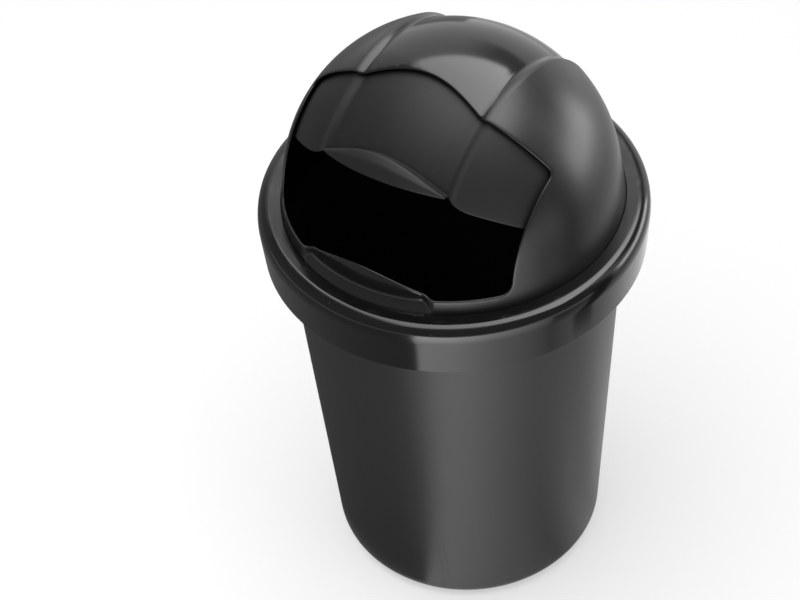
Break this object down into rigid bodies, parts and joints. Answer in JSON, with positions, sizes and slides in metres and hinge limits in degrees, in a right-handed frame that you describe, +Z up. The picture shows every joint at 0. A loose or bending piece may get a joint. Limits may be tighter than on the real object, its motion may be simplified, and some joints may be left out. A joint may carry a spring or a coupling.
{
  "type": "swing-top trash can",
  "caption": "Round tapered bin with a lift-off domed top: a collar over the rim, and a curved flap with a grip lip that rolls up inside the dome to open the mouth.",
  "frame": {"origin": "centre of the underside, on the surface the bin stands on", "axes": "+Z up, the mouth and the flap's grip lip face -Y, +X to the right of someone who faces the mouth"},
  "size_m": [0.3992, 0.3992, 0.6623],
  "materials": {
    "bucket_plastic": "dark grey polypropylene with a fine satin grain",
    "collar_plastic": "polished dark grey moulding with crisp reflections",
    "dome_plastic": "dark grey moulding, soft satin sides and a glossier middle band",
    "flap_plastic": "dark grey moulding with a soft sheen",
    "pin_plastic": "plain black moulded pin"
  },
  "bodies": {
    "bin": {"bucket": "bucket_plastic"},
    "lid": {"collar": "collar_plastic", "dome": "dome_plastic", "pivot_pin_left": "pin_plastic", "pivot_pin_right": "pin_plastic"},
    "flap": {"flap": "flap_plastic"}
  },
  "joints": [
    {"name": "lid_lift", "type": "slide", "parent": "bin", "child": "lid", "axis": [0, 0, 1], "range_m": [0, 0.3]},
    {"name": "flap_swing", "type": "hinge", "parent": "lid", "child": "flap", "pos_m": [0, 0, 0.4968], "axis": [-1, 0, 0], "range_deg": [-38.7, 28]}
  ]
}
